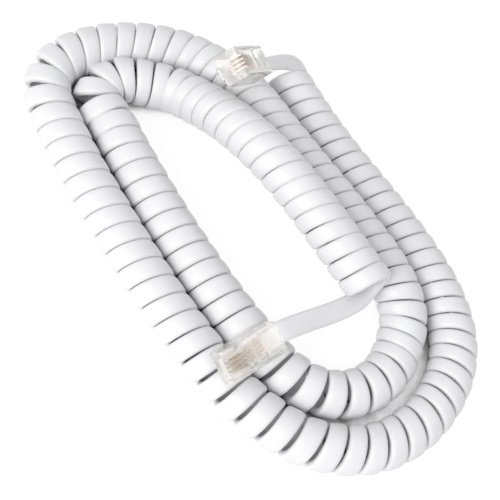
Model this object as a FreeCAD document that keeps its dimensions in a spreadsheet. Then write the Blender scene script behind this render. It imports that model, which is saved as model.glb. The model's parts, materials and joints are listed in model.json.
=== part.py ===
"""Coiled telephone handset cord with a clear four-contact plug on each end.

The cord lies in a flat spiral. Millimetres, +Z up, origin under the middle of the spiral, on the surface
that the cord lies on. Each plug has its own frame: x from its nose to its rear, y across, z up from the
latch side to the contact side.
"""
import FreeCAD
import Part
import Sketcher
import math
import os

Vector = FreeCAD.Vector

# Driving dimensions, in millimetres, degrees and counts.
DIMENSIONS = {
    "coil_diameter": 11.8,
    "wire_diameter": 4.4,
    "wire_gap": 0.5,
    "rest_flat": 0.5,
    "whole_curls": 99,
    "start_angle": 125.0,
    "end_angle": 270.0,
    "lead_width": 5.0,
    "lead_thick": 2.3,
    "lead_inside": 3.6,
    "lead_straight": 4.0,
    "plug_length": 14.6,
    "plug_width": 7.65,
    "plug_height": 6.6,
    "nose_chamfer": 0.6,
    "edge_round": 0.35,
    "entry_width": 5.4,
    "entry_height": 2.7,
    "entry_depth": 3.7,
    "wire_level": 2.9,
    "contact_count": 4,
    "contact_pitch": 1.02,
    "contact_thick": 0.35,
    "contact_front": 1.0,
    "contact_rear": 4.6,
    "contact_sink": 0.35,
    "tooth_depth": 0.5,
    "tooth_gap": 0.02,
    "slot_width": 0.45,
    "slot_front": 0.8,
    "slot_rear": 4.9,
    "conductor_diameter": 0.95,
    "conductor_front": 1.4,
    "channel_front": 1.2,
    "channel_height": 1.06,
    "channel_width": 4.2,
    "anchor_front": 5.6,
    "anchor_rear": 7.5,
    "anchor_depth": 2.6,
    "wedge_front": 8.3,
    "wedge_rear": 10.8,
    "wedge_depth": 2.0,
    "window_width": 5.2,
    "latch_width": 3.2,
    "thumb_width": 2.5,
    "latch_step": 7.2,
    "latch_end": 12.4,
    "latch_drop": 1.75,
    "latch_thick": 0.75,
    "latch_shoulder": 0.55,
    "root_x": 1.3,
    "root_drop": 0.35,
    "root_radius": 0.6,
    "root_clearance": 0.1,
}

# The cord's axis, as control points from the outer end, by plug A, to the inner end, by plug B. Where the
# cord lies on the surface its axis is at this level, so that the curls are cut flat there.
REST = 5.4
ROUTE = [
    (-23.9, 35.1, REST), (-13.9, 32.6, REST), (0.1, 30.3, REST), (15.1, 29.1, REST),
    (29.6, 27.3, REST), (42.7, 24.3, REST), (52.9, 18.9, REST), (59.3, 11.1, REST),
    (62.3, 1.6, REST), (62.7, -7.4, REST), (60.6, -16.4, REST), (55.1, -24.3, REST),
    (47.6, -30.1, REST), (38.1, -33.6, REST), (26.1, -35.1, REST), (6.1, -33.7, REST),
    (-14.9, -30.5, REST), (-35.9, -26.2, REST), (-47.9, -23.2, REST), (-56.9, -20.1, REST),
    (-61.9, -14.4, REST), (-63.1, -7.4, REST), (-61.7, -0.1, REST), (-58.1, 7.3, REST),
    (-52.5, 13.3, REST), (-45.9, 17.9, REST), (-37.9, 20.7, 6.6), (-26.9, 21.5, 9.0),
    (-8.9, 18.4, 10.3), (9.1, 17.1, 10.3), (26.1, 15.4, 10.0), (36.1, 13.6, 8.8),
    (42.6, 10.1, 7.0), (45.9, 4.6, REST), (47.9, -2.4, REST), (47.1, -10.4, REST),
    (43.1, -16.7, REST), (37.1, -20.7, REST), (29.6, -22.6, REST), (19.1, -22.4, REST),
    (6.1, -21.2, REST), (-11.9, -18.4, REST), (-29.9, -14.3, REST), (-35.4, -12.9, REST),
    (-40.7, -11.3, REST), (-44.6, -9.8, REST), (-46.9, -7.5, REST), (-48.0, -4.4, REST),
    (-47.7, -1.1, REST), (-46.0, 1.8, REST), (-42.6, 4.2, REST), (-38.1, 6.7, 5.8),
    (-32.4, 8.3, 7.6), (-22.4, 8.4, 12.0), (-8.4, 7.5, 16.8), (5.1, 7.1, 17.9),
    (17.1, 5.9, 17.9), (30.1, 4.9, 17.0),
]

# Each plug's middle, and its turn, tilt and roll in degrees. Tilt raises the rear, roll leans the contact
# side to the left of the nose-to-rear direction when it is negative.
PLUG_POSES = {
    "plug_a": (Vector(-28.6, 16.8, 23.0), 89.5, -38.0, 16.5),
    "plug_b": (Vector(24.5, -30.6, 17.1), 81.8, 1.0, 20.0),
}

AXIS_STEPS = 2400
CURVE_WINDOW = 30
ARCS_PER_CURL = 4
GAP_POINTS_PER_CURL = 60
MESH_TOLERANCE = 0.05
PITCH_HALVINGS = 24
ARC_SHARE = 0.45
LEAST_CUT = 1e-3
TINY = 1e-6
UP = Vector(0, 0, 1)

doc = FreeCAD.newDocument("handset_cord")
sheet = doc.addObject("Spreadsheet::Sheet", "sizes")
for row, (alias, value) in enumerate(DIMENSIONS.items(), start=1):
    sheet.set("A%d" % row, alias)
    sheet.set("B%d" % row, str(value))
    sheet.setAlias("B%d" % row, alias)
doc.recompute()

sub_parts = []


def size(alias):
    """A driving dimension, read from the sheet."""
    return float(sheet.get(alias))


def plug_placement(plug):
    """The plug frame's place: the frame's origin is at the nose, mid-width, on the latch side."""
    middle, turn, tilt, roll = PLUG_POSES[plug]
    spin = FreeCAD.Rotation(UP, turn)
    spin = spin.multiply(FreeCAD.Rotation(Vector(0, -1, 0), tilt))
    spin = spin.multiply(FreeCAD.Rotation(Vector(1, 0, 0), roll))
    to_middle = Vector(size("plug_length") / 2, 0, size("plug_height") / 2)
    return FreeCAD.Placement(middle - spin.multVec(to_middle), spin)


# Sketches and features


def new_body(label, placement):
    body = doc.addObject("PartDesign::Body", label)
    body.Label = label
    body.Placement = placement
    sub_parts.append(body)
    return body


def new_sketch(body, name, role, offset=None):
    """A sketch on one of the body's own origin planes, moved along the plane's normal by an expression."""
    sketch = body.newObject("Sketcher::SketchObject", name)
    plane = [item for item in body.Origin.OriginFeatures if item.Role == role][0]
    sketch.AttachmentSupport = [(plane, "")]
    sketch.MapMode = "FlatFace"
    if offset:
        sketch.setExpression("AttachmentOffset.Base.z", offset)
    return sketch


def polygon(sketch, corners):
    """A closed outline whose corners are pairs of expressions in the sheet's aliases."""
    count = len(corners)
    for index in range(count):
        angle = 2 * math.pi * index / count
        after = 2 * math.pi * (index + 1) / count
        start = Vector(math.cos(angle), math.sin(angle), 0)
        end = Vector(math.cos(after), math.sin(after), 0)
        sketch.addGeometry(Part.LineSegment(start, end), False)
    for index in range(count):
        sketch.addConstraint(Sketcher.Constraint("Coincident", index, 2, (index + 1) % count, 1))
    for index, corner in enumerate(corners):
        for kind, expression in zip(("DistanceX", "DistanceY"), corner):
            place = sketch.addConstraint(Sketcher.Constraint(kind, -1, 1, index, 1, 1.0))
            sketch.setExpression("Constraints[%d]" % place, bound(expression))


def bound(expression):
    """An expression with each alias written as a cell of the sheet."""
    words = expression.replace("(", " ( ").replace(")", " ) ").split()
    return " ".join("sizes." + word if word in DIMENSIONS else word for word in words)


def rectangle(sketch, left, right, low, high):
    polygon(sketch, [(left, low), (right, low), (right, high), (left, high)])


def pad_across(body, sketch, name, width):
    """A pad to both sides of the sketch's plane."""
    pad = body.newObject("PartDesign::Pad", name)
    pad.Profile = sketch
    pad.SideType = "Symmetric"
    pad.setExpression("Length", bound(width))
    return pad


def pocket(body, sketch, name, depth, across=False):
    """A pocket against the sketch's normal, or to both sides of its plane."""
    doc.recompute()
    before = body.Shape.Volume
    cut = body.newObject("PartDesign::Pocket", name)
    cut.Profile = sketch
    if across:
        cut.SideType = "Symmetric"
    cut.setExpression("Length", bound(depth))
    doc.recompute()
    if body.Shape.Volume > before - LEAST_CUT:
        raise RuntimeError(name + " cuts nothing")
    return cut


# The plug's pieces


def make_housing(plug):
    """The clear moulded body, with its contact slots, conductor channel, jacket entry and two recesses."""
    body = new_body(plug + "_housing", plug_placement(plug))
    profile = new_sketch(body, plug + "_profile", "XZ_Plane")
    polygon(profile, [
        ("nose_chamfer", "0"), ("plug_length", "0"), ("plug_length", "plug_height"),
        ("nose_chamfer", "plug_height"), ("0", "plug_height - nose_chamfer"), ("0", "nose_chamfer"),
    ])
    block = pad_across(body, profile, plug + "_block", "plug_width")
    doc.recompute()
    long_edges = []
    for index, edge in enumerate(block.Shape.Edges, start=1):
        ends = [vertex.Point for vertex in edge.Vertexes]
        along = abs(ends[0].x - ends[1].x) > size("plug_length") / 2
        if along and abs(ends[0].y - ends[1].y) < TINY:
            long_edges.append("Edge%d" % index)
    rounding = body.newObject("PartDesign::Fillet", plug + "_rounding")
    rounding.Base = (block, long_edges)
    rounding.setExpression("Radius", bound("edge_round"))

    slot = new_sketch(body, plug + "_slot", "XY_Plane", bound("plug_height"))
    first = "contact_pitch * ( contact_count - 1 ) / 2"
    rectangle(slot, "slot_front", "slot_rear", first + " - slot_width / 2", first + " + slot_width / 2")
    slot_depth = "plug_height - wire_level - channel_height / 4"
    slots = pocket(body, slot, plug + "_contact_slot", slot_depth)
    row = body.newObject("PartDesign::LinearPattern", plug + "_contact_slots")
    row.Originals = [slots]
    row.Direction = (slot, ["V_Axis"])
    row.Reversed = True
    row.setExpression("Length", bound("contact_pitch * ( contact_count - 1 )"))
    row.Occurrences = int(size("contact_count"))
    body.Tip = row
    doc.recompute()

    entry = new_sketch(body, plug + "_entry", "YZ_Plane", bound("plug_length"))
    rectangle(entry, "0 - entry_width / 2", "entry_width / 2",
              "wire_level - entry_height / 2", "wire_level + entry_height / 2")
    pocket(body, entry, plug + "_jacket_entry", "entry_depth")
    channel = new_sketch(body, plug + "_channel", "YZ_Plane", bound("plug_length"))
    rectangle(channel, "0 - channel_width / 2", "channel_width / 2",
              "wire_level - channel_height / 2", "wire_level + channel_height / 2")
    pocket(body, channel, plug + "_conductor_channel", "plug_length - channel_front")
    for name in ("anchor", "wedge"):
        window = new_sketch(body, plug + "_" + name, "XY_Plane", bound("plug_height"))
        rectangle(window, name + "_front", name + "_rear", "0 - window_width / 2", "window_width / 2")
        pocket(body, window, plug + "_" + name + "_recess", name + "_depth")

    groove = new_sketch(body, plug + "_groove", "XZ_Plane")
    circle_at_root(groove, "root_radius + root_clearance")
    pocket(body, groove, plug + "_latch_groove", "latch_width + 2 * root_clearance", across=True)


def circle_at_root(sketch, radius):
    """A circle about the line that the latch bends on."""
    sketch.addGeometry(Part.Circle(Vector(1, -1, 0), UP, 1), False)
    places = [("DistanceX", "root_x"), ("DistanceY", "0 - root_drop")]
    for kind, expression in places:
        place = sketch.addConstraint(Sketcher.Constraint(kind, -1, 1, 0, 3, 1.0))
        sketch.setExpression("Constraints[%d]" % place, bound(expression))
    place = sketch.addConstraint(Sketcher.Constraint("Radius", 0, 1.0))
    sketch.setExpression("Constraints[%d]" % place, bound(radius))


def make_latch(plug):
    """The spring tab: a round root at the nose, a shoulder that locks, and a narrower thumb end."""
    body = new_body(plug + "_latch", plug_placement(plug))
    root = new_sketch(body, plug + "_root", "XZ_Plane")
    circle_at_root(root, "root_radius")
    pad_across(body, root, plug + "_latch_root", "latch_width")
    at_step = "( 0 - root_drop + root_radius / 2 - latch_drop * latch_step / latch_end )"
    at_end = "( 0 - root_drop + root_radius / 2 - latch_drop )"
    arm = new_sketch(body, plug + "_arm", "XZ_Plane")
    polygon(arm, [
        ("root_x", "0 - root_drop + root_radius / 2"), ("latch_step", at_step),
        ("latch_step", at_step + " - latch_thick - latch_shoulder"),
        ("root_x", "0 - root_drop - root_radius"),
    ])
    pad_across(body, arm, plug + "_latch_arm", "latch_width")
    thumb = new_sketch(body, plug + "_thumb", "XZ_Plane")
    polygon(thumb, [
        ("latch_step - latch_thick", at_step), ("latch_step", at_step), ("latch_end", at_end),
        ("latch_end", at_end + " - latch_thick"), ("latch_step - latch_thick", at_step + " - latch_thick"),
    ])
    pad_across(body, thumb, plug + "_latch_thumb", "thumb_width")
    doc.recompute()


def lane(index):
    """How far contact or conductor number index, from 1, is to the left of the plug's middle."""
    return size("contact_pitch") * ((size("contact_count") + 1) / 2 - index)


def make_contact(plug, index):
    """A gold-plated blade with two teeth over its conductor."""
    place = plug_placement(plug).multiply(FreeCAD.Placement(Vector(0, lane(index), 0), FreeCAD.Rotation()))
    body = new_body("%s_contact_%d" % (plug, index), place)
    outline = new_sketch(body, "%s_blade_%d" % (plug, index), "XZ_Plane")
    tip = "wire_level + conductor_diameter / 2 + tooth_gap"
    root = tip + " + tooth_depth"
    middle = "( contact_front + contact_rear ) / 2"
    polygon(outline, [
        ("contact_front", root), ("contact_front + tooth_depth", tip), (middle, root),
        ("contact_rear - tooth_depth", tip), ("contact_rear", root),
        ("contact_rear", "plug_height - contact_sink - tooth_depth"),
        ("contact_rear - tooth_depth", "plug_height - contact_sink"),
        ("contact_front + tooth_depth", "plug_height - contact_sink"),
        ("contact_front", "plug_height - contact_sink - tooth_depth"),
    ])
    pad_across(body, outline, "%s_blade_pad_%d" % (plug, index), "contact_thick")


def make_conductor(plug, index):
    """An insulated conductor end, from the cut jacket to under its contact."""
    label = "%s_conductor_%d" % (plug, index)
    conductor = doc.addObject("Part::Cylinder", label)
    conductor.Label = label
    conductor.setExpression("Radius", bound("conductor_diameter / 2"))
    conductor.setExpression("Height", bound("plug_length - lead_inside - conductor_front"))
    front = Vector(size("conductor_front"), lane(index), size("wire_level"))
    along = FreeCAD.Placement(front, FreeCAD.Rotation(UP, Vector(1, 0, 0)))
    conductor.Placement = plug_placement(plug).multiply(along)
    sub_parts.append(conductor)


# The cord


def arc_edge(start, corner, end):
    """The arc from start to end whose two tangents meet at corner, equally far from both."""
    middle = (start + end) * 0.5
    cosine = (end - start).Length / 2 / (corner - start).Length
    turn = math.acos(min(1.0, cosine))
    if turn < TINY:
        return Part.LineSegment(start, end).toShape()
    rise = cosine * math.tan(turn / 2) / math.sin(turn)
    return Part.Arc(start, middle + (corner - middle) * rise, end).toShape()


def biarc(start, start_way, end, end_way):
    """Two tangent arcs from start to end that leave and arrive along the given directions."""
    chord = end - start
    both = start_way + end_way
    spread = 2 * (1 - start_way.dot(end_way))
    along = chord.dot(both)
    reach = (math.sqrt(along * along + spread * chord.dot(chord)) - along) / spread
    first = start + start_way * reach
    last = end - end_way * reach
    joint = (first + last) * 0.5
    return [arc_edge(start, first, joint), arc_edge(joint, last, end)]


class Winding:
    """The helix round the cord's axis: its curls open where the axis bends."""

    def __init__(self):
        poles = [Vector(*point) for point in ROUTE]
        count = len(poles)
        multiplicities = [3] + [1] * (count - 3) + [3]
        self.axis = Part.BSplineCurve()
        self.axis.buildFromPolesMultsKnots(poles, multiplicities, list(range(count - 1)), False, 2)
        self.length = self.axis.length()
        self.radius = (size("coil_diameter") - size("wire_diameter")) / 2
        self.turns = size("whole_curls") + (size("end_angle") - size("start_angle")) / 360
        self.frames = [self.frame(self.length * step / AXIS_STEPS) for step in range(AXIS_STEPS + 1)]
        bends = [self.axis.curvature(frame[0]) for frame in self.frames]
        bends = [max(bends[max(0, i - CURVE_WINDOW):i + CURVE_WINDOW]) for i in range(AXIS_STEPS + 1)]
        room = size("wire_diameter") + size("wire_gap")
        self.least_pitch = [room / (1 - bend * self.radius) for bend in bends]
        self.tightest = 1 / max(bends)
        self.pitch, self.count = self.straight_pitch()

    def frame(self, distance):
        """The curve's parameter, point, tangent, and the sideways and upward directions there."""
        parameter = self.axis.parameterAtDistance(distance)
        way = self.axis.tangent(parameter)[0]
        side = way.cross(UP)
        side.normalize()
        return parameter, self.axis.value(parameter), way, side, side.cross(way)

    def counted(self, pitch):
        """The curls up to each step along the axis, for one pitch on the straights."""
        step = self.length / AXIS_STEPS
        rates = [1 / max(pitch, least) for least in self.least_pitch]
        smooth = []
        for index in range(AXIS_STEPS + 1):
            near = rates[max(0, index - CURVE_WINDOW):index + CURVE_WINDOW]
            smooth.append(sum(near) / len(near))
        total = [0.0]
        for index in range(AXIS_STEPS):
            total.append(total[-1] + step * (smooth[index] + smooth[index + 1]) / 2)
        return total

    def straight_pitch(self):
        """The pitch on the straights that gives the right number of curls, found by halving."""
        low = size("wire_diameter")
        high = 2 * self.length / self.turns
        for _ in range(PITCH_HALVINGS):
            middle = (low + high) / 2
            if self.counted(middle)[-1] > self.turns:
                low = middle
            else:
                high = middle
        count = self.counted(high)
        return high, [value * self.turns / count[-1] for value in count]

    def point(self, turn):
        """The wire's centre after so many curls, and its direction."""
        low = 0
        high = AXIS_STEPS
        while high - low > 1:
            middle = (low + high) // 2
            if self.count[middle] <= turn:
                low = middle
            else:
                high = middle
        share = (turn - self.count[low]) / (self.count[high] - self.count[low])
        step = self.length / AXIS_STEPS
        parameter, centre, way, side, up = self.frame(min(self.length, (low + share) * step))
        angle = math.radians(size("start_angle") + 360 * turn)
        out = side * math.cos(angle) + up * math.sin(angle)
        around = up * math.cos(angle) - side * math.sin(angle)
        advance = step / (self.count[high] - self.count[low]) / (2 * math.pi)
        bend = self.axis.curvature(parameter)
        if bend > TINY:
            advance *= 1 - bend * self.radius * out.dot(self.axis.normal(parameter))
        heading = around * self.radius + way * advance
        heading.normalize()
        return centre + out * self.radius, heading


def flat_section(centre, along, across):
    """The jacket's flat section with round sides, square to along."""
    up = along.cross(across)
    round_side = size("lead_thick") / 2
    reach = size("lead_width") / 2 - round_side
    corners = [centre + across * (x * reach) + up * (y * round_side)
               for x, y in ((-1, -1), (1, -1), (1, 1), (-1, 1))]
    sides = [centre + across * (x * size("lead_width") / 2) for x in (1, -1)]
    return Part.Wire([
        Part.LineSegment(corners[0], corners[1]).toShape(),
        Part.Arc(corners[1], sides[0], corners[2]).toShape(),
        Part.LineSegment(corners[2], corners[3]).toShape(),
        Part.Arc(corners[3], sides[1], corners[0]).toShape(),
    ])


def rounded_path(points):
    """Straight runs joined by arcs as large as the runs allow, with the arcs' radii."""
    edges = []
    radii = []
    start = points[0]
    for before, corner, after in zip(points, points[1:], points[2:]):
        cut = ARC_SHARE * min((corner - before).Length, (after - corner).Length)
        way_in = (corner - before).normalize()
        way_out = (after - corner).normalize()
        turn = math.acos(max(-1.0, min(1.0, way_in.dot(way_out))))
        radii.append(cut / math.tan(turn / 2))
        edges.append(Part.LineSegment(start, corner - way_in * cut).toShape())
        edges.append(arc_edge(corner - way_in * cut, corner, corner + way_out * cut))
        start = corner + way_out * cut
    edges.append(Part.LineSegment(start, points[-1]).toShape())
    return edges, radii


def add_shape(label, shape):
    feature = doc.addObject("Part::Feature", label)
    feature.Label = label
    feature.Shape = shape
    sub_parts.append(feature)
    return feature


def report_tube(label, solid, section_area, edges):
    length = sum(edge.Length for edge in edges)
    print("%s: length %.1f mm, volume %.1f, section times length %.1f"
          % (label, length, solid.Volume, section_area * length))


def least_gap(points, apart, wire):
    """The least distance between the wire's surfaces, for points further apart than this along it."""
    cell = 2 * wire
    grid = {}
    for index, point in enumerate(points):
        key = (int(point.x // cell), int(point.y // cell), int(point.z // cell))
        grid.setdefault(key, []).append(index)
    least = math.inf
    around = [(x, y, z) for x in (-1, 0, 1) for y in (-1, 0, 1) for z in (-1, 0, 1)]
    for key, members in grid.items():
        near = []
        for x, y, z in around:
            near += grid.get((key[0] + x, key[1] + y, key[2] + z), [])
        for first in members:
            for second in near:
                if second - first > apart:
                    least = min(least, (points[first] - points[second]).Length)
    return least - wire


def make_curls(winding):
    """The coiled stretch: one round tube on arcs, straight at both ends and cut flat where it lies."""
    wire = size("wire_diameter")
    steps = int(math.ceil(winding.turns * ARCS_PER_CURL))
    stations = [winding.point(winding.turns * step / steps) for step in range(steps + 1)]
    start, start_way = stations[0]
    end, end_way = stations[-1]
    edges = [Part.LineSegment(start - start_way * wire, start).toShape()]
    for (here, here_way), (there, there_way) in zip(stations, stations[1:]):
        edges += biarc(here, here_way, there, there_way)
    edges.append(Part.LineSegment(end, end + end_way * wire).toShape())
    section = Part.Wire([Part.Circle(start - start_way * wire, start_way, wire / 2).toShape()])
    tube = Part.Wire(edges).makePipeShell([section], True, False)
    radii = [edge.Curve.Radius for edge in edges if hasattr(edge.Curve, "Radius")]
    print("curls: %.2f, straight pitch %.2f mm, axis length %.1f mm, tightest axis radius %.1f mm"
          % (winding.turns, winding.pitch, winding.length, winding.tightest))
    print("curls: arc radii %.2f to %.2f mm on a wire of radius %.2f mm" % (min(radii), max(radii), wire / 2))
    report_tube("curls", tube, math.pi * wire * wire / 4, edges)

    samples = int(winding.turns * GAP_POINTS_PER_CURL)
    points = [winding.point(winding.turns * step / samples)[0] for step in range(samples + 1)]
    gap = least_gap(points, GAP_POINTS_PER_CURL // 2, wire)
    print("curls: least gap to itself %.2f mm" % gap)

    box = tube.BoundBox
    slab = Part.makeBox(box.XLength + wire, box.YLength + wire, 2 * size("rest_flat"),
                        Vector(box.XMin - wire / 2, box.YMin - wire / 2, -2 * size("rest_flat")))
    pieces = sorted(tube.cut(slab).Solids, key=lambda piece: piece.Volume)
    curls = pieces.pop()
    if any(piece.CenterOfMass.z > 0 for piece in pieces):
        raise RuntimeError("the curls came apart at the flat")
    lowest = min(vertex.z for vertex in curls.tessellate(MESH_TOLERANCE)[0])
    print("curls: lowest point %.3f mm" % lowest)
    add_shape("curly_cord", curls)
    return start - start_way * wire, start_way, end + end_way * wire, end_way * -1


def make_lead(plug, coil_end, into_coil):
    """The straight flat lead, from inside the plug to the end of the curls."""
    place = plug_placement(plug)
    back = place.Rotation.multVec(Vector(1, 0, 0))
    across = place.Rotation.multVec(Vector(0, 1, 0))
    rear = place.multVec(Vector(size("plug_length"), 0, size("wire_level")))
    straight = size("lead_straight")
    inner_end = rear - back * size("lead_inside")
    points = [inner_end, rear + back * straight, coil_end - into_coil * straight, coil_end]
    edges, radii = rounded_path(points)
    section = flat_section(inner_end, back, across)
    tube = Part.Wire(edges).makePipeShell([section], True, False)
    print("%s_lead: radii %s mm" % (plug, ", ".join("%.1f" % radius for radius in radii)))
    report_tube(plug + "_lead", tube, Part.Face(section).Area, edges)
    add_shape(plug + "_lead", tube)


for plug_name in PLUG_POSES:
    make_housing(plug_name)
    make_latch(plug_name)
    for number in range(1, int(size("contact_count")) + 1):
        make_contact(plug_name, number)
        make_conductor(plug_name, number)
doc.recompute()

curl_winding = Winding()
outer_end, outer_way, inner_end, inner_way = make_curls(curl_winding)
make_lead("plug_a", outer_end, outer_way)
make_lead("plug_b", inner_end, inner_way)
doc.recompute()

for item in doc.Objects:
    if "Invalid" in item.State or "Error" in item.State:
        raise RuntimeError("failed: " + item.Name)
for item in sub_parts:
    if item.Shape.isNull() or not item.Shape.isValid():
        raise RuntimeError("no valid shape: " + item.Label)

whole = FreeCAD.BoundBox()
for item in sub_parts:
    whole.add(item.Shape.BoundBox)
print("box x %.2f to %.2f, y %.2f to %.2f, z %.2f to %.2f"
      % (whole.XMin, whole.XMax, whole.YMin, whole.YMax, whole.ZMin, whole.ZMax))

os.makedirs("parts", exist_ok=True)
for item in sub_parts:
    item.Shape.exportStep(os.path.join("parts", item.Label + ".step"))
print("wrote %d sub-parts" % len(sub_parts))
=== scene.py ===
"""A coiled handset cord with a clear plug on each end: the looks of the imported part.

Metres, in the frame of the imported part. One flat ribbon of white jacket leaves plug A, winds into curls round
the cord's axis and ends in plug B. The plugs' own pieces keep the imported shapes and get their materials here.
"""

import json
import math

import bpy
import numpy as np
from mathutils import Matrix, Vector


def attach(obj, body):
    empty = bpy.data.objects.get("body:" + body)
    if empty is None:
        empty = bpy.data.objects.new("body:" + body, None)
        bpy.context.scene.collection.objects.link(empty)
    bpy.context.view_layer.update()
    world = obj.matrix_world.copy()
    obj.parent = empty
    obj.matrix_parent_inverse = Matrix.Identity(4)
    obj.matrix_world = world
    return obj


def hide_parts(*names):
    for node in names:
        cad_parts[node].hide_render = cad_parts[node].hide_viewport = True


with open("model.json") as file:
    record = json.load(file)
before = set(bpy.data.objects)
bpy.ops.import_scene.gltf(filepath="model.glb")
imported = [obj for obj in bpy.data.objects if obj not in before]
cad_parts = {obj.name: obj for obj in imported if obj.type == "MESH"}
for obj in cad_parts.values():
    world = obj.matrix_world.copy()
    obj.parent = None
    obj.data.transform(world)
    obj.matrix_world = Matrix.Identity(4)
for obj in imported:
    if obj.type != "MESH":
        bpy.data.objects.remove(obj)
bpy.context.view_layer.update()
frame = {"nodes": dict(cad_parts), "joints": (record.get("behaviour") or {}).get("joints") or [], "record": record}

bl_info = {
    "name": "Coiled handset cord",
    "version": (1, 0, 0),
    "blender": (4, 5, 0),
    "location": "View3D > Sidebar > Handset cord",
    "description": "Dresses a coiled telephone cord: its ribbon in curls, its clear plugs and their contacts",
    "category": "Object",
}

# The cord's axis as control points, from its outer end by plug A to its inner end by plug B. REST is its
# height where the curls lie on the floor.
REST = 0.0054
ROUTE = [
    (-0.0258, 0.0356, REST), (-0.0139, 0.0326, REST), (0.0001, 0.0303, REST), (0.0151, 0.0291, REST),
    (0.0296, 0.0273, REST), (0.0427, 0.0243, REST), (0.0529, 0.0189, REST), (0.0593, 0.0111, REST),
    (0.0623, 0.0016, REST), (0.0627, -0.0074, REST), (0.0606, -0.0164, REST), (0.0551, -0.0243, REST),
    (0.0476, -0.0301, REST), (0.0381, -0.0336, REST), (0.0261, -0.0351, REST), (0.0061, -0.0337, REST),
    (-0.0148, -0.0301, REST), (-0.0358, -0.0258, REST), (-0.0477, -0.0224, REST), (-0.0567, -0.0193, REST),
    (-0.0611, -0.0144, REST), (-0.0621, -0.0084, REST), (-0.0607, -0.0011, REST), (-0.0571, 0.0063, REST),
    (-0.0520, 0.0128, REST), (-0.0459, 0.0179, REST), (-0.0379, 0.0207, 0.0066), (-0.0269, 0.0215, 0.0090),
    (-0.0089, 0.0184, 0.0103), (0.0091, 0.0171, 0.0103), (0.0261, 0.0154, 0.0100), (0.0361, 0.0136, 0.0088),
    (0.0426, 0.0101, 0.0070), (0.0465, 0.0042, REST), (0.0489, -0.0024, REST), (0.0482, -0.0106, REST),
    (0.0442, -0.0170, REST), (0.0377, -0.0211, REST), (0.0296, -0.0226, REST), (0.0191, -0.0224, REST),
    (0.0061, -0.0212, REST), (-0.0119, -0.0184, REST), (-0.0299, -0.0143, REST), (-0.0354, -0.0129, REST),
    (-0.0407, -0.0113, REST), (-0.0466, -0.0105, REST), (-0.0498, -0.0089, REST), (-0.0506, -0.0053, REST),
    (-0.0496, -0.0017, 0.0057), (-0.0470, 0.0013, 0.0060), (-0.0435, 0.0041, 0.0062),
    (-0.0389, 0.0075, 0.0068), (-0.0324, 0.0088, 0.0090), (-0.0224, 0.0089, 0.0140),
    (-0.0084, 0.0079, 0.0180), (0.0051, 0.0071, 0.0179), (0.0171, 0.0054, 0.0179), (0.0318, 0.0037, 0.0170),
]

# How the curls lie: a place along the axis, their pitch there, how many degrees each one is tipped forwards
# on the left of the way that the axis goes, and the least room between two of them.
CURLS = [
    (0.000, 0.00448, 6, 0.00030), (0.060, 0.00445, 6, 0.00030), (0.085, 0.00450, 5, 0.00065),
    (0.100, 0.00460, 4, 0.00090), (0.108, 0.00490, 4, 0.00090), (0.117, 0.00500, 4, 0.00090),
    (0.123, 0.00480, 4, 0.00095), (0.128, 0.00510, 4, 0.00095), (0.133, 0.00575, 3, 0.00090),
    (0.138, 0.00615, 1, 0.00075), (0.144, 0.00600, -4, 0.00070), (0.155, 0.00555, -8, 0.00060),
    (0.161, 0.00570, -6, 0.00045), (0.167, 0.00540, -3, 0.00040), (0.173, 0.00505, 0, 0.00030),
    (0.182, 0.00512, 1, 0.00020), (0.210, 0.00508, 2, 0.00014), (0.240, 0.00495, 2, 0.00014),
    (0.245, 0.00540, 2, 0.00014), (0.255, 0.00540, 2, 0.00020), (0.262, 0.00470, 2, 0.00025),
    (0.280, 0.00465, 5, 0.00025), (0.300, 0.00435, 8, 0.00025), (0.360, 0.00430, 8, 0.00025),
    (0.370, 0.00410, 6, 0.00025), (0.385, 0.00435, 3, 0.00030), (0.395, 0.00460, -3, 0.00070),
    (0.402, 0.00485, -6, 0.00100), (0.409, 0.00540, -8, 0.00100), (0.415, 0.00610, -8, 0.00100),
    (0.421, 0.00580, -7, 0.00100), (0.427, 0.00510, -5, 0.00070), (0.432, 0.00495, -4, 0.00045),
    (0.440, 0.00494, -2, 0.00020), (0.495, 0.00492, 0, 0.00016), (0.504, 0.00480, -8, 0.00020),
    (0.515, 0.00445, -20, 0.00030), (0.522, 0.00460, -12, 0.00040), (0.529, 0.00470, 0, 0.00050),
    (0.537, 0.00455, 9, 0.00040), (0.550, 0.00434, 9, 0.00010), (0.580, 0.00430, 9, 0.00005),
    (0.590, 0.00430, 2, 0.00005), (0.602, 0.00440, -6, 0.00005),
]

PLUGS = ("plug_a", "plug_b")
CONTACTS = 4
CORD_BODY = "cord"
COIL_NODES = ("curly_cord", "plug_a_lead", "plug_b_lead")

# How finely the ribbon is drawn.
AXIS_STEPS = 6000
SPLINE_STEPS = 24
SPLINE_ORDER = 3
RINGS_PER_CURL = 40
RINGS_PER_LEAD = 60
SECTION_POINTS = 20

# How many steps to each side the running means take in: for the bends and the listed pitches and tips, for
# the curls' own pitches, and for the ribbon's width.
SMOOTH_STEPS = 50
PITCH_STEPS = 25
WIDTH_STEPS = 2

# Each curl's pitch has a random draw of its own. The spare ones are for the part of a turn at the end.
CURL_SEED = 5
SPARE_DRAWS = 3

# A bend of this many coil radii, or a tighter one, shuts the seams on its inner side.
SEAM_SHUTS = 4

MM = 0.001
UP = np.array((0.0, 0.0, 1.0))
WHITE = (1.0, 1.0, 1.0, 1.0)

# The stage: the floor's clearance under the cord, and where the lamps stand and how wide they are.
FLOOR_DROP = 0.02 * MM
NEAR_LAMP_PLACE = (-0.05, -0.62, 0.5)
NEAR_LAMP_SIDE = 0.45
TOP_LAMP_PLACE = (0.1, 0.1, 0.9)
TOP_LAMP_SIDE = 0.8

# The camera: the photograph's side and focal length, in its pixels, and the nearest thing that is drawn.
PICTURE_SIDE = 500
FOCAL_LENGTH = 1118.6
CLIP_START = 10 * MM


# Sizes and colours that a user would change


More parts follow.
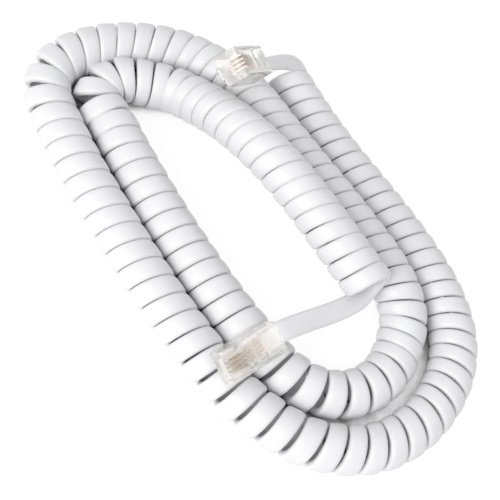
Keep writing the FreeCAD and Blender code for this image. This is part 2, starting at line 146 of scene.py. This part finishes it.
class HandsetCordSizes(bpy.types.PropertyGroup):
    """The ribbon and its winding."""

    coil_diameter: bpy.props.FloatProperty(
        name="Coil diameter", description="Outside diameter of the curls",
        default=11.8 * MM, min=6 * MM, unit="LENGTH", precision=4)
    ribbon_width: bpy.props.FloatProperty(
        name="Ribbon width", description="Width of the flat jacket, along the coil's axis",
        default=5.0 * MM, min=2 * MM, unit="LENGTH", precision=4)
    ribbon_thick: bpy.props.FloatProperty(
        name="Ribbon thickness", description="Thickness of the flat jacket, outwards from the coil's axis",
        default=2.3 * MM, min=1 * MM, unit="LENGTH", precision=4)
    ribbon_length: bpy.props.FloatProperty(
        name="Ribbon length", description="Length of the jacket from plug to plug, stretched out",
        default=3.8, min=0.5, unit="LENGTH")
    squareness: bpy.props.FloatProperty(
        name="Squareness", description="How square the ribbon's section is: 2 is an oval, more is squarer",
        default=3.4, min=2.0, max=8.0)
    curls: bpy.props.IntProperty(
        name="Curls", description="Whole curls between the two leads", default=127, min=10)
    start_angle: bpy.props.FloatProperty(
        name="Start angle", description="Where round the coil the first lead leaves it",
        default=math.radians(125), subtype="ANGLE")
    end_angle: bpy.props.FloatProperty(
        name="End angle", description="Where round the coil the last lead leaves it",
        default=math.radians(270), subtype="ANGLE")
    least_width: bpy.props.FloatProperty(
        name="Least width", description="Share of its width that the ribbon keeps on the inside of a bend",
        default=0.3, min=0.1, max=1.0, subtype="FACTOR")
    oval: bpy.props.FloatProperty(
        name="Oval", description="How much the tightest bends press in the inner side of the curls",
        default=0.2, min=0.0, max=0.5, subtype="FACTOR")
    unevenness: bpy.props.FloatProperty(
        name="Unevenness", description="How much the pitch differs from one curl to the next",
        default=0.03, min=0.0, max=0.2, subtype="FACTOR")
    lean: bpy.props.FloatProperty(
        name="Lean", description="How far each curl leans on the one before it",
        default=math.radians(3), subtype="ANGLE")
    lead_inside: bpy.props.FloatProperty(
        name="Lead inside", description="Length of jacket inside each plug",
        default=3.6 * MM, unit="LENGTH")
    lead_twist: bpy.props.FloatProperty(
        name="Lead twist",
        description="Length behind each plug in which its lead turns to lie as it does on the coil",
        default=6.0 * MM, unit="LENGTH")
    plug_a_tilt: bpy.props.FloatProperty(
        name="Plug A lead's tilt",
        description="How far the flat of plug A's lead is turned over halfway along it",
        default=math.radians(-30), subtype="ANGLE")
    plug_b_tilt: bpy.props.FloatProperty(
        name="Plug B lead's tilt",
        description="How far the flat of plug B's lead is turned over halfway along it",
        default=math.radians(30), subtype="ANGLE")
    lead_straight: bpy.props.FloatProperty(
        name="Lead straight", description="Straight length of each lead at its two ends",
        default=4.0 * MM, unit="LENGTH")
    plug_length: bpy.props.FloatProperty(
        name="Plug length", description="Length of a plug's body, nose to rear",
        default=14.6 * MM, unit="LENGTH")
    wire_drop: bpy.props.FloatProperty(
        name="Wire drop", description="How far the jacket is from mid-height, towards the latch",
        default=0.4 * MM, unit="LENGTH", precision=5)


class HandsetCordFinishes(bpy.types.PropertyGroup):
    """Colours, as sRGB hex."""

    jacket: bpy.props.StringProperty(
        name="Jacket", description="White PVC of the ribbon", default="#E4E4E6")
    clear: bpy.props.StringProperty(
        name="Clear plastic", description="Tint of the plugs' polycarbonate", default="#FFFDFA")
    gold: bpy.props.StringProperty(
        name="Gold", description="Plating of the contacts", default="#E6CFB2")
    conductor: bpy.props.StringProperty(
        name="Conductor", description="Insulation of the conductors", default="#D9C5B8")


class HandsetCordStage(bpy.types.PropertyGroup):
    """Floor, light and camera."""

    floor: bpy.props.StringProperty(name="Floor", description="Colour of the floor", default="#FAFAFA")
    floor_size: bpy.props.FloatProperty(
        name="Floor size", description="Side of the square floor", default=4.0, unit="LENGTH")
    sky: bpy.props.FloatProperty(
        name="Sky", description="Strength of the even light from all round", default=0.64, min=0.0)
    key_power: bpy.props.FloatProperty(
        name="Key light", description="Power of the soft lamp on the near side",
        default=3.75, min=0.0, unit="POWER")
    fill_power: bpy.props.FloatProperty(
        name="Fill light", description="Power of the soft lamp overhead",
        default=0.94, min=0.0, unit="POWER")
    eye: bpy.props.FloatVectorProperty(
        name="Camera place", description="Where the camera stands",
        default=(0.0436, -0.1305, 0.2435), size=3, subtype="TRANSLATION")
    look: bpy.props.FloatVectorProperty(
        name="Camera direction", description="Which way the camera looks",
        default=(-0.1428, 0.4559, -0.8785), size=3, subtype="DIRECTION")
    right: bpy.props.FloatVectorProperty(
        name="Picture's right", description="The direction that is to the right in the picture",
        default=(0.6720, 0.6963, 0.2521), size=3, subtype="DIRECTION")
    half_view: bpy.props.FloatProperty(
        name="Half view", description="Half of the picture's width at a distance of 1",
        default=PICTURE_SIDE / 2 / FOCAL_LENGTH)


# Materials


def linear(hex_colour):
    """An sRGB hex value as linear red, green, blue and alpha."""
    parts = [int(hex_colour[i:i + 2], 16) / 255 for i in (1, 3, 5)]
    return [c / 12.92 if c <= 0.04045 else ((c + 0.055) / 1.055) ** 2.4 for c in parts] + [1.0]


def add_node(tree, kind, values=None, links=None, **settings):
    """A node with its own settings, its sockets' values and the outputs that its sockets are linked to."""
    node = tree.nodes.new(kind)
    for name, setting in settings.items():
        setattr(node, name, setting)
    for socket, value in (values or {}).items():
        node.inputs[socket].default_value = value
    for socket, output in (links or {}).items():
        tree.links.new(output, node.inputs[socket])
    return node


def new_material(name):
    """An empty material and its tree."""
    material = bpy.data.materials.new(name)
    material.use_nodes = True
    material.node_tree.nodes.clear()
    return material, material.node_tree


def extruded_pvc(colour):
    """Extruded flexible PVC: a soft satin white, with faint drawn lines along it and a slight mottle."""
    line_gap_mm = 0.35
    line_length_mm = 40
    patch_mm = 6
    patch_shade = 0.96
    material, tree = new_material("extruded_pvc")
    across = add_node(tree, "ShaderNodeAttribute", attribute_name="across_mm")
    along = add_node(tree, "ShaderNodeAttribute", attribute_name="along_mm")
    place = add_node(tree, "ShaderNodeCombineXYZ",
                     links={"X": across.outputs["Fac"], "Y": along.outputs["Fac"]})
    # The lines that the extruder's die draws along the jacket.
    stretch = add_node(tree, "ShaderNodeVectorMath", operation="MULTIPLY",
                       values={1: (1 / line_gap_mm, 1 / line_length_mm, 1.0)},
                       links={0: place.outputs["Vector"]})
    lines = add_node(tree, "ShaderNodeTexNoise", values={"Scale": 1.0, "Detail": 2.0, "Roughness": 0.5},
                     links={"Vector": stretch.outputs["Vector"]})
    # Patches of a slightly duller white.
    mottle = add_node(tree, "ShaderNodeTexNoise",
                      values={"Scale": 1 / patch_mm, "Detail": 3.0, "Roughness": 0.55},
                      links={"Vector": place.outputs["Vector"]})
    shade = add_node(tree, "ShaderNodeValToRGB", links={"Fac": mottle.outputs["Fac"]})
    white = linear(colour)
    shade.color_ramp.elements[0].position = 0.3
    shade.color_ramp.elements[0].color = [c * patch_shade for c in white[:3]] + [1.0]
    shade.color_ramp.elements[1].position = 0.7
    shade.color_ramp.elements[1].color = white
    satin = add_node(tree, "ShaderNodeMapRange",
                     values={"To Min": 0.38, "To Max": 0.5}, links={"Value": lines.outputs["Fac"]})
    bump = add_node(tree, "ShaderNodeBump", values={"Strength": 0.12, "Distance": 0.05 * MM},
                    links={"Height": lines.outputs["Fac"]})
    shader = add_node(tree, "ShaderNodeBsdfPrincipled", values={"IOR": 1.53},
                      links={"Base Color": shade.outputs["Color"], "Roughness": satin.outputs["Result"],
                             "Normal": bump.outputs["Normal"]})
    add_node(tree, "ShaderNodeOutputMaterial", links={"Surface": shader.outputs["BSDF"]})
    return material


def moulded_polycarbonate(colour):
    """Clear moulded polycarbonate: glossy, slightly warm, with faint flow marks in its surface."""
    flow_gap = 1.5 * MM
    lamp_share = 0.95
    material, tree = new_material("moulded_polycarbonate")
    where = add_node(tree, "ShaderNodeTexCoord")
    flow = add_node(tree, "ShaderNodeTexNoise",
                    values={"Scale": 1 / flow_gap, "Detail": 2.0, "Roughness": 0.5, "Distortion": 0.6},
                    links={"Vector": where.outputs["Object"]})
    gloss = add_node(tree, "ShaderNodeMapRange",
                     values={"To Min": 0.04, "To Max": 0.14}, links={"Value": flow.outputs["Fac"]})
    bump = add_node(tree, "ShaderNodeBump", values={"Strength": 0.25, "Distance": 0.1 * MM},
                    links={"Height": flow.outputs["Fac"]})
    shader = add_node(tree, "ShaderNodeBsdfPrincipled",
                      values={"Base Color": linear(colour), "IOR": 1.58, "Transmission Weight": 0.8},
                      links={"Roughness": gloss.outputs["Result"], "Normal": bump.outputs["Normal"]})
    # It lets this share of the lamps' light through, so that what is inside and behind it stays lit.
    path = add_node(tree, "ShaderNodeLightPath")
    share = add_node(tree, "ShaderNodeMath", operation="MULTIPLY",
                     values={1: lamp_share}, links={0: path.outputs["Is Shadow Ray"]})
    through = add_node(tree, "ShaderNodeBsdfTransparent")
    mixed = add_node(tree, "ShaderNodeMixShader",
                     links={0: share.outputs["Value"], 1: shader.outputs["BSDF"], 2: through.outputs["BSDF"]})
    add_node(tree, "ShaderNodeOutputMaterial", links={"Surface": mixed.outputs["Shader"]})
    return material


def gold_plated_bronze(colour):
    """Stamped bronze with a thin gold plating: warm, bright and finely brushed by the punch."""
    # Coarser than real punch marks, so that they show.
    mark_gap = 0.2 * MM
    material, tree = new_material("gold_plated_bronze")
    where = add_node(tree, "ShaderNodeTexCoord")
    marks = add_node(tree, "ShaderNodeTexNoise", values={"Scale": 1 / mark_gap, "Detail": 2.0},
                     links={"Vector": where.outputs["Object"]})
    rough = add_node(tree, "ShaderNodeMapRange",
                     values={"To Min": 0.18, "To Max": 0.38}, links={"Value": marks.outputs["Fac"]})
    bump = add_node(tree, "ShaderNodeBump", values={"Strength": 0.15, "Distance": 0.02 * MM},
                    links={"Height": marks.outputs["Fac"]})
    shader = add_node(tree, "ShaderNodeBsdfPrincipled",
                      values={"Base Color": linear(colour), "Metallic": 1.0},
                      links={"Roughness": rough.outputs["Result"], "Normal": bump.outputs["Normal"]})
    add_node(tree, "ShaderNodeOutputMaterial", links={"Surface": shader.outputs["BSDF"]})
    return material


def conductor_insulation(colour):
    """Thin polypropylene over tinsel copper: the copper's warm colour shows through, in faint bands."""
    wrap_gap = 0.5 * MM
    wrap_shade = 0.8
    material, tree = new_material("conductor_insulation")
    where = add_node(tree, "ShaderNodeTexCoord")
    wraps = add_node(tree, "ShaderNodeTexNoise", values={"Scale": 1 / wrap_gap, "Detail": 2.0},
                     links={"Vector": where.outputs["Object"]})
    tone = add_node(tree, "ShaderNodeValToRGB", links={"Fac": wraps.outputs["Fac"]})
    base = linear(colour)
    tone.color_ramp.elements[0].position = 0.35
    tone.color_ramp.elements[0].color = [c * wrap_shade for c in base[:3]] + [1.0]
    tone.color_ramp.elements[1].position = 0.65
    tone.color_ramp.elements[1].color = base
    shader = add_node(tree, "ShaderNodeBsdfPrincipled", values={"IOR": 1.49, "Roughness": 0.4},
                      links={"Base Color": tone.outputs["Color"]})
    add_node(tree, "ShaderNodeOutputMaterial", links={"Surface": shader.outputs["BSDF"]})
    return material


def pale_floor(colour):
    """Matt pale card seen white: its matt share keeps the cord's shadow, its glow has painted shade."""
    white_share = 0.8
    painted_shade_reach = 12 * MM
    material, tree = new_material("pale_card")
    path = add_node(tree, "ShaderNodeLightPath")
    seen = add_node(tree, "ShaderNodeMath", operation="MAXIMUM",
                    links={0: path.outputs["Is Camera Ray"], 1: path.outputs["Is Glossy Ray"]})
    seen = add_node(tree, "ShaderNodeMath", operation="MAXIMUM",
                    links={0: seen.outputs["Value"], 1: path.outputs["Is Transmission Ray"]})
    share = add_node(tree, "ShaderNodeMath", operation="MULTIPLY",
                     values={1: white_share}, links={0: seen.outputs["Value"]})
    # Painted shade: the white glow is full on open card and dark in the gaps between and under the curls.
    painted_shade_ao = add_node(tree, "ShaderNodeAmbientOcclusion", values={"Distance": painted_shade_reach}, samples=16)
    lit = add_node(tree, "ShaderNodeMapRange", interpolation_type="SMOOTHSTEP",
                   values={"From Min": 0.12, "From Max": 0.25, "To Max": 1.08},
                   links={"Value": painted_shade_ao.outputs["AO"]})
    card = add_node(tree, "ShaderNodeBsdfDiffuse", values={"Color": linear(colour)})
    # The white glow, with its strength set by the painted shade just above.
    white = add_node(tree, "ShaderNodeEmission", values={"Color": WHITE},
                     links={"Strength": lit.outputs["Result"]})
    mixed = add_node(tree, "ShaderNodeMixShader",
                     links={0: share.outputs["Value"], 1: card.outputs["BSDF"], 2: white.outputs["Emission"]})
    add_node(tree, "ShaderNodeOutputMaterial", links={"Surface": mixed.outputs["Shader"]})
    return material


# The ribbon


def unit(vectors):
    """The same directions at length 1."""
    return vectors / np.linalg.norm(vectors, axis=-1, keepdims=True)


def spline_points(controls, count):
    """Points evenly spaced along the NURBS spline with these control points."""
    curve = bpy.data.curves.new("route", "CURVE")
    curve.dimensions = "3D"
    curve.resolution_u = SPLINE_STEPS
    spline = curve.splines.new("NURBS")
    spline.points.add(len(controls) - 1)
    for point, control in zip(spline.points, controls):
        point.co = (*control, 1.0)
    spline.order_u = SPLINE_ORDER
    spline.use_endpoint_u = True
    holder = bpy.data.objects.new("route", curve)
    mesh = bpy.data.meshes.new_from_object(holder)
    points = np.array([vertex.co for vertex in mesh.vertices], float)
    bpy.data.objects.remove(holder)
    bpy.data.curves.remove(curve)
    bpy.data.meshes.remove(mesh)
    return evenly(points, count)


def distances(points):
    """How far along the line each of its points is."""
    return np.concatenate([[0.0], np.cumsum(np.linalg.norm(np.diff(points, axis=0), axis=1))])


def evenly(points, count):
    """The same line through count points at equal distances."""
    travelled = distances(points)
    stops = np.linspace(0.0, travelled[-1], count)
    return np.stack([np.interp(stops, travelled, points[:, k]) for k in range(3)], 1)


def smooth(values, steps):
    """A running mean over so many steps to each side."""
    padded = np.pad(values, steps, mode="edge")
    return np.convolve(padded, np.ones(2 * steps + 1) / (2 * steps + 1), mode="valid")


def curls_so_far(step, pitch):
    """How many curls there are up to each point of the axis, at these pitches."""
    return np.concatenate([[0.0], np.cumsum(step * 2 / (pitch[1:] + pitch[:-1]))])


def count_curls(sizes, step, pitch, turns):
    """Curls up to each point of the axis and their pitch there: so many in all, and no two quite alike."""
    count = curls_so_far(step, pitch)
    draw = np.random.default_rng(CURL_SEED).uniform(-1.0, 1.0, sizes.curls + SPARE_DRAWS)
    uneven = 1 + sizes.unevenness * np.interp(count * turns / count[-1], np.arange(len(draw)), draw)
    pitch = smooth(pitch * uneven, PITCH_STEPS)
    count = curls_so_far(step, pitch)
    return count * (turns / count[-1]), pitch * (count[-1] / turns)


def wind_curls(sizes):
    """The helix round the axis: its points, its outward directions and the ribbon's width at each."""
    axis = spline_points(ROUTE, AXIS_STEPS)
    step = np.linalg.norm(axis[1] - axis[0])
    way = unit(np.gradient(axis, axis=0))
    side = unit(np.cross(way, UP))
    rise = np.cross(side, way)
    bend = np.gradient(way, axis=0) / step
    bend = np.stack([smooth(bend[:, k], SMOOTH_STEPS) for k in range(3)], 1)
    radius = (sizes.coil_diameter - sizes.ribbon_thick) / 2
    places, pitches, tips, seams = np.array(CURLS).T
    travelled = step * np.arange(AXIS_STEPS)
    tip = np.radians(smooth(np.interp(travelled, places, tips), SMOOTH_STEPS))
    pitch = smooth(np.interp(travelled, places, pitches), SMOOTH_STEPS)
    seam = np.interp(travelled, places, seams)
    turns = sizes.curls + (sizes.end_angle - sizes.start_angle) / (2 * math.pi)
    count, pitch = count_curls(sizes, step, pitch, turns)
    curl = np.linspace(0.0, turns, int(turns * RINGS_PER_CURL) + 1)

    def along(values):
        if values.ndim > 1:
            return np.stack([np.interp(curl, count, column) for column in values.T], 1)
        return np.interp(curl, count, values)[:, None]

    centre = along(axis)
    sideways = unit(along(side))
    upwards = unit(along(rise))
    angle = sizes.start_angle + 2 * math.pi * curl
    across = np.cos(angle)[:, None]
    lift = np.sin(angle)[:, None]
    out = across * sideways + lift * upwards
    inwards = radius * (along(bend) * out).sum(1)[:, None]
    half_wide = radius * (1 - sizes.oval * np.maximum(inwards, 0.0) ** 2)
    # Where the cord lies on the floor, its own weight presses the underside of the curls flat.
    drop = np.minimum(radius, centre[:, 2:] - sizes.ribbon_thick / 2)
    points = (centre + half_wide * across * sideways + np.where(lift < 0, drop, radius) * lift * upwards
              - np.tan(along(tip)) * radius * across * unit(along(way)))
    local_pitch = (1 - inwards) * along(pitch) * np.cos(along(tip))
    room = along(seam) * (1 - np.clip(SEAM_SHUTS * inwards, 0.0, 1.0))
    width = np.clip(local_pitch - room, sizes.least_width * sizes.ribbon_width, sizes.ribbon_width)
    return points, out, width[:, 0]


def plug_frame(plug):
    """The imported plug's own frame: origin in the middle of its nose, x to its rear, z to its contacts."""
    mount = next(m for m in frame["record"]["mounts"] if m["name"] == plug + "_jack")
    press = next(j for j in frame["joints"] if j["child"] == plug + "_latch")
    back = -Vector(mount["axis"]).normalized()
    left = -Vector(press["axis"]).normalized()
    top = back.cross(left)
    place = Matrix((back, left, top)).transposed().to_4x4()
    place.translation = mount["pos_m"]
    return place


def plug_point(plug, x, z):
    """A point on the plug's middle plane, so far behind its nose and above its mid-height."""
    return np.array(plug_frame(plug) @ Vector((x, 0.0, z)))


def lead_points(plug, sizes, coil_end, into_coil):
    """The lead from inside the plug to the end of the curls."""
    back = np.array(plug_frame(plug).to_3x3().col[0])
    rear = plug_point(plug, sizes.plug_length, -sizes.wire_drop)
    controls = [rear - back * sizes.lead_inside, rear, rear + back * sizes.lead_straight,
                coil_end - into_coil * sizes.lead_straight, coil_end]
    return spline_points(controls, RINGS_PER_LEAD + 1)


def carried(points, out):
    """The outward direction at the line's last point, carried back along the line without twisting."""
    way = unit(np.gradient(points, axis=0))
    found = [out]
    for index in range(len(points) - 2, -1, -1):
        flat = found[-1] - way[index] * (found[-1] @ way[index])
        found.append(flat / np.linalg.norm(flat))
    return np.array(found[::-1]), way


def lead_out(plug, points, coil_out, sizes):
    """Outward directions along a lead: flat in the plug, then turning to lie flat on the coil."""
    out, way = carried(points, coil_out)
    top = np.array(plug_frame(plug).to_3x3().col[2])
    sideways = np.cross(way[0], out[0])
    twist = math.atan2(top @ sideways, top @ out[0])
    if abs(twist) > math.pi / 2:
        twist -= math.copysign(math.pi, twist)
    share = np.linspace(0.0, 1.0, len(points))
    halfway = np.sin(math.pi * share) ** 2
    travelled = share * distances(points)[-1]
    left = np.clip((sizes.lead_inside + sizes.lead_twist - travelled) / sizes.lead_twist, 0.0, 1.0)
    left = left * left * (3 - 2 * left)
    turn = (twist * left + getattr(sizes, plug + "_tilt") * halfway)[:, None]
    return np.cos(turn) * out + np.sin(turn) * np.cross(way, out)


def ribbon_line(sizes):
    """The whole ribbon from inside plug A to inside plug B: centre line, outward directions and width."""
    points, out, width = wind_curls(sizes)
    way = unit(np.gradient(points, axis=0))
    first = lead_points("plug_a", sizes, points[0], way[0])
    last = lead_points("plug_b", sizes, points[-1], -way[-1])
    first_out = lead_out("plug_a", first, out[0], sizes)
    last_out = lead_out("plug_b", last, out[-1], sizes)
    line = np.concatenate([first[:-1], points, last[-2::-1]])
    outward = np.concatenate([first_out[:-1], out, last_out[-2::-1]])
    full = np.full(RINGS_PER_LEAD, sizes.ribbon_width)
    wide = np.concatenate([full, width, full])
    return line, outward, smooth(wide, WIDTH_STEPS)


def ribbon_section(sizes):
    """The ribbon's section as parts of its half width and half thickness, squared off at the shoulders."""
    angle = 2 * math.pi * (np.arange(SECTION_POINTS) + 0.5) / SECTION_POINTS
    power = 2 / sizes.squareness
    across = np.sign(np.cos(angle)) * np.abs(np.cos(angle)) ** power
    outward = np.sign(np.sin(angle)) * np.abs(np.sin(angle)) ** power
    return across, outward


def ribbon_mesh(sizes):
    """The ribbon as one closed tube, with each point's place along and across it in millimetres."""
    line, outward, width = ribbon_line(sizes)
    way = unit(np.gradient(line, axis=0))
    outward = unit(outward - way * (outward * way).sum(1)[:, None])
    sideways = np.cross(way, outward)
    lean_out = math.cos(sizes.lean) * outward + math.sin(sizes.lean) * sideways
    sideways = np.cross(way, lean_out)
    across, out = ribbon_section(sizes)
    half_thick = sizes.ribbon_thick / 2
    rings = (line[:, None]
             + sideways[:, None] * (width[:, None] / 2 * across)[:, :, None]
             + lean_out[:, None] * (half_thick * out)[None, :, None])
    rings[:, :, 2] = np.maximum(rings[:, :, 2], 0.0)
    count = len(line)
    start = np.arange(count - 1)[:, None] * SECTION_POINTS
    here = np.arange(SECTION_POINTS)[None]
    after = (here + 1) % SECTION_POINTS
    quads = np.stack([start + here, start + after, start + SECTION_POINTS + after,
                      start + SECTION_POINTS + here], 2).reshape(-1, 4)
    faces = quads.tolist()
    faces.append(list(range(SECTION_POINTS))[::-1])
    faces.append(list(range((count - 1) * SECTION_POINTS, count * SECTION_POINTS)))
    mesh = bpy.data.meshes.new("coiled_ribbon")
    mesh.from_pydata(rings.reshape(-1, 3).tolist(), [], faces)
    mesh.validate()
    mesh.shade_smooth()
    travelled = distances(line)
    for name, values in (("along_mm", np.repeat(travelled / MM, SECTION_POINTS)),
                         ("across_mm", (width[:, None] / 2 * across / MM).ravel())):
        layer = mesh.attributes.new(name, "FLOAT", "POINT")
        layer.data.foreach_set("value", values.astype(np.float32))
    print("ribbon %.3f m" % travelled[-1])
    return mesh, line


# Operators


def dress(node, material):
    """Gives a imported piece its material."""
    mesh = frame["nodes"][node].data
    mesh.materials.clear()
    mesh.materials.append(material)


class HANDSETCORD_OT_ribbon(bpy.types.Operator):
    """Winds the white ribbon from plug to plug"""

    bl_idname = "handset_cord.ribbon"
    bl_label = "Coiled ribbon"

    def execute(self, context):
        sizes = context.scene.handset_cord_sizes
        mesh, line = ribbon_mesh(sizes)
        ribbon = bpy.data.objects.new("coiled_ribbon", mesh)
        context.scene.collection.objects.link(ribbon)
        mesh.materials.append(extruded_pvc(context.scene.handset_cord_finishes.jacket))
        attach(ribbon, CORD_BODY)
        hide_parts(*COIL_NODES)
        plug_point("plug_a", sizes.plug_length, -sizes.wire_drop)
        return {"FINISHED"}


class HANDSETCORD_OT_plug_bodies(bpy.types.Operator):
    """Dresses the clear plug bodies and their latches"""

    bl_idname = "handset_cord.plug_bodies"
    bl_label = "Clear plug bodies"

    def execute(self, context):
        clear = moulded_polycarbonate(context.scene.handset_cord_finishes.clear)
        for plug in PLUGS:
            dress(plug + "_housing", clear)
            dress(plug + "_latch", clear)
        return {"FINISHED"}


class HANDSETCORD_OT_contacts(bpy.types.Operator):
    """Dresses the gold-plated contacts"""

    bl_idname = "handset_cord.contacts"
    bl_label = "Contacts"

    def execute(self, context):
        gold = gold_plated_bronze(context.scene.handset_cord_finishes.gold)
        for plug in PLUGS:
            for number in range(1, CONTACTS + 1):
                dress("%s_contact_%d" % (plug, number), gold)
        return {"FINISHED"}


class HANDSETCORD_OT_conductors(bpy.types.Operator):
    """Dresses the conductor ends inside the plugs"""

    bl_idname = "handset_cord.conductors"
    bl_label = "Conductors"

    def execute(self, context):
        insulation = conductor_insulation(context.scene.handset_cord_finishes.conductor)
        for plug in PLUGS:
            for number in range(1, CONTACTS + 1):
                dress("%s_conductor_%d" % (plug, number), insulation)
        return {"FINISHED"}


def add_lamp(name, place, power, side):
    """A square soft lamp that points at the middle of the cord."""
    data = bpy.data.lights.new(name, "AREA")
    data.energy = power
    data.size = side
    lamp = bpy.data.objects.new(name, data)
    lamp.location = place
    lamp.rotation_mode = "QUATERNION"
    lamp.rotation_quaternion = (-Vector(place)).to_track_quat("-Z", "Y")
    bpy.context.scene.collection.objects.link(lamp)


class HANDSETCORD_OT_stage(bpy.types.Operator):
    """Makes the floor, the lamps and the camera"""

    bl_idname = "handset_cord.stage"
    bl_label = "Stage"

    def execute(self, context):
        scene = context.scene
        stage = scene.handset_cord_stage
        half = stage.floor_size / 2
        mesh = bpy.data.meshes.new("floor")
        corners = [(-half, -half, 0), (half, -half, 0), (half, half, 0), (-half, half, 0)]
        mesh.from_pydata(corners, [], [(0, 1, 2, 3)])
        mesh.materials.append(pale_floor(stage.floor))
        floor = bpy.data.objects.new("floor", mesh)
        floor.location.z = -FLOOR_DROP
        scene.collection.objects.link(floor)

        world = bpy.data.worlds.new("even_sky")
        world.use_nodes = True
        world.node_tree.nodes.clear()
        sky = add_node(world.node_tree, "ShaderNodeBackground",
                       values={"Color": WHITE, "Strength": stage.sky})
        add_node(world.node_tree, "ShaderNodeOutputWorld", links={"Surface": sky.outputs["Background"]})
        scene.world = world
        add_lamp("near_lamp", NEAR_LAMP_PLACE, stage.key_power, NEAR_LAMP_SIDE)
        add_lamp("top_lamp", TOP_LAMP_PLACE, stage.fill_power, TOP_LAMP_SIDE)

        data = bpy.data.cameras.new("camera")
        data.lens = data.sensor_width / 2 / stage.half_view
        data.clip_start = CLIP_START
        camera = bpy.data.objects.new("camera", data)
        back = -Vector(stage.look).normalized()
        right = Vector(stage.right).normalized()
        above = back.cross(right).normalized()
        right = above.cross(back)
        turned = Matrix((right, above, back)).transposed().to_4x4()
        camera.matrix_world = Matrix.Translation(stage.eye) @ turned
        scene.collection.objects.link(camera)
        scene.camera = camera
        scene.view_settings.view_transform = "Standard"
        return {"FINISHED"}


class HANDSETCORD_PT_panel(bpy.types.Panel):
    """The cord's pieces, sizes and colours"""

    bl_idname = "HANDSETCORD_PT_panel"
    bl_label = "Handset cord"
    bl_space_type = "VIEW_3D"
    bl_region_type = "UI"
    bl_category = "Handset cord"

    def draw(self, context):
        for operator in OPERATORS:
            self.layout.operator(operator.bl_idname)
        for group in (context.scene.handset_cord_sizes, context.scene.handset_cord_finishes,
                      context.scene.handset_cord_stage):
            box = self.layout.box()
            for name in group.__annotations__:
                box.prop(group, name)


OPERATORS = (
    HANDSETCORD_OT_stage,
    HANDSETCORD_OT_ribbon,
    HANDSETCORD_OT_plug_bodies,
    HANDSETCORD_OT_contacts,
    HANDSETCORD_OT_conductors,
)
GROUPS = {
    "handset_cord_sizes": HandsetCordSizes,
    "handset_cord_finishes": HandsetCordFinishes,
    "handset_cord_stage": HandsetCordStage,
}


def register():
    """Adds the property groups, the operators and the panel to Blender."""
    for name, group in GROUPS.items():
        bpy.utils.register_class(group)
        setattr(bpy.types.Scene, name, bpy.props.PointerProperty(type=group))
    for item in (*OPERATORS, HANDSETCORD_PT_panel):
        bpy.utils.register_class(item)


def unregister():
    """Takes them out again."""
    for item in (HANDSETCORD_PT_panel, *OPERATORS):
        bpy.utils.unregister_class(item)
    for name, group in GROUPS.items():
        delattr(bpy.types.Scene, name)
        bpy.utils.unregister_class(group)


def main():
    """Dresses the part."""
    register()
    bpy.ops.handset_cord.stage()
    bpy.ops.handset_cord.ribbon()
    bpy.ops.handset_cord.plug_bodies()
    bpy.ops.handset_cord.contacts()
    bpy.ops.handset_cord.conductors()


if __name__ == "__main__":
    main()
